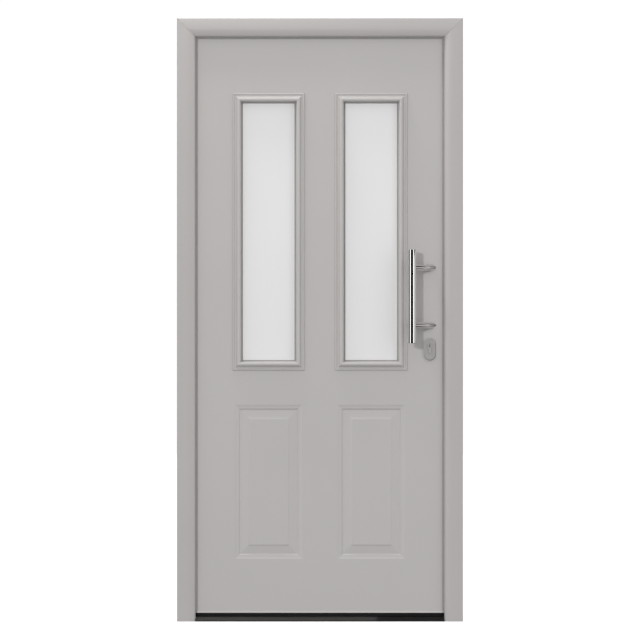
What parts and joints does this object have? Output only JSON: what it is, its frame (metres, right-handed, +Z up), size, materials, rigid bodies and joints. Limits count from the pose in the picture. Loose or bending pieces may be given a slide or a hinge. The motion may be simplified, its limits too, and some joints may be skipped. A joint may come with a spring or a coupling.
{
  "type": "front door with frame",
  "caption": "Painted metal front door in its frame, opening inwards, with glazed and pressed panels, a pull bar outside and a lever inside.",
  "frame": {"origin": "middle of the threshold underside, half way through the frame depth", "axes": "+Z up, +Y from the outside to the inside, +X to the right seen from outside"},
  "size_m": [1, 0.212, 2.11],
  "materials": {
    "core_foam": "rigid foam",
    "frame_paint": "satin light grey powder coat",
    "frosted_glass": "satin etched",
    "hinge_paint": "satin light grey powder coat",
    "inside_fittings": "silver anodised",
    "insulating_strip": "black glass-filled polyamide",
    "leaf_paint": "satin light grey powder coat",
    "nickel": "nickel plated",
    "plated_steel": "zinc plated",
    "polished_steel": "polished stainless steel",
    "seal_rubber": "matt black rubber",
    "sill_metal": "dark anodised",
    "spacer_bar": "mill finish"
  },
  "bodies": {
    "frame": {"head_inner_profile": "frame_paint", "head_outer_profile": "frame_paint", "head_thermal_break": "insulating_strip", "hinge_jamb_inner_profile": "frame_paint", "hinge_jamb_outer_profile": "frame_paint", "hinge_jamb_thermal_break": "insulating_strip", "inner_frame_seal": "seal_rubber", "lock_jamb_inner_profile": "frame_paint", "lock_jamb_outer_profile": "frame_paint", "lock_jamb_thermal_break": "insulating_strip", "lower_hinge_frame_half": "hinge_paint", "middle_hinge_frame_half": "hinge_paint", "outer_frame_seal": "seal_rubber", "strike_plates": "plated_steel", "threshold_core": "insulating_strip", "threshold_inner_sill": "sill_metal", "threshold_outer_sill": "sill_metal", "upper_hinge_frame_half": "hinge_paint"},
    "leaf": {"bottom_seals": "seal_rubber", "drip_rail": "leaf_paint", "glazing_spacers": "spacer_bar", "inner_backplate": "inside_fittings", "inner_glazing_gaskets": "seal_rubber", "inner_lever": "inside_fittings", "leaf_core": "core_foam", "leaf_edge_break": "insulating_strip", "leaf_edge_inner": "leaf_paint", "leaf_edge_outer": "leaf_paint", "leaf_inner_skin": "leaf_paint", "leaf_outer_skin": "leaf_paint", "left_inner_moulding": "leaf_paint", "left_inner_pane": "frosted_glass", "left_outer_moulding": "leaf_paint", "left_outer_pane": "frosted_glass", "lock_bolts": "plated_steel", "lock_cylinder": "nickel", "lock_faceplate": "plated_steel", "lower_hinge_leaf_half": "hinge_paint", "lower_standoff": "polished_steel", "middle_hinge_leaf_half": "hinge_paint", "outer_escutcheon": "frame_paint", "outer_glazing_gaskets": "seal_rubber", "pull_bar": "polished_steel", "right_inner_moulding": "leaf_paint", "right_inner_pane": "frosted_glass", "right_outer_moulding": "leaf_paint", "right_outer_pane": "frosted_glass", "upper_hinge_leaf_half": "hinge_paint", "upper_standoff": "polished_steel"},
    "plug": {"lock_plug": "nickel"}
  },
  "joints": [
    {"name": "leaf_hinge", "type": "hinge", "parent": "frame", "child": "leaf", "pos_m": [-0.4695, 0.0665, 1.043], "axis": [0, 0, 1], "range_deg": [0, 110]},
    {"name": "plug_turn", "type": "hinge", "parent": "leaf", "child": "plug", "pos_m": [0.384, -0.013, 0.964], "axis": [0, 1, 0], "continuous": true}
  ]
}
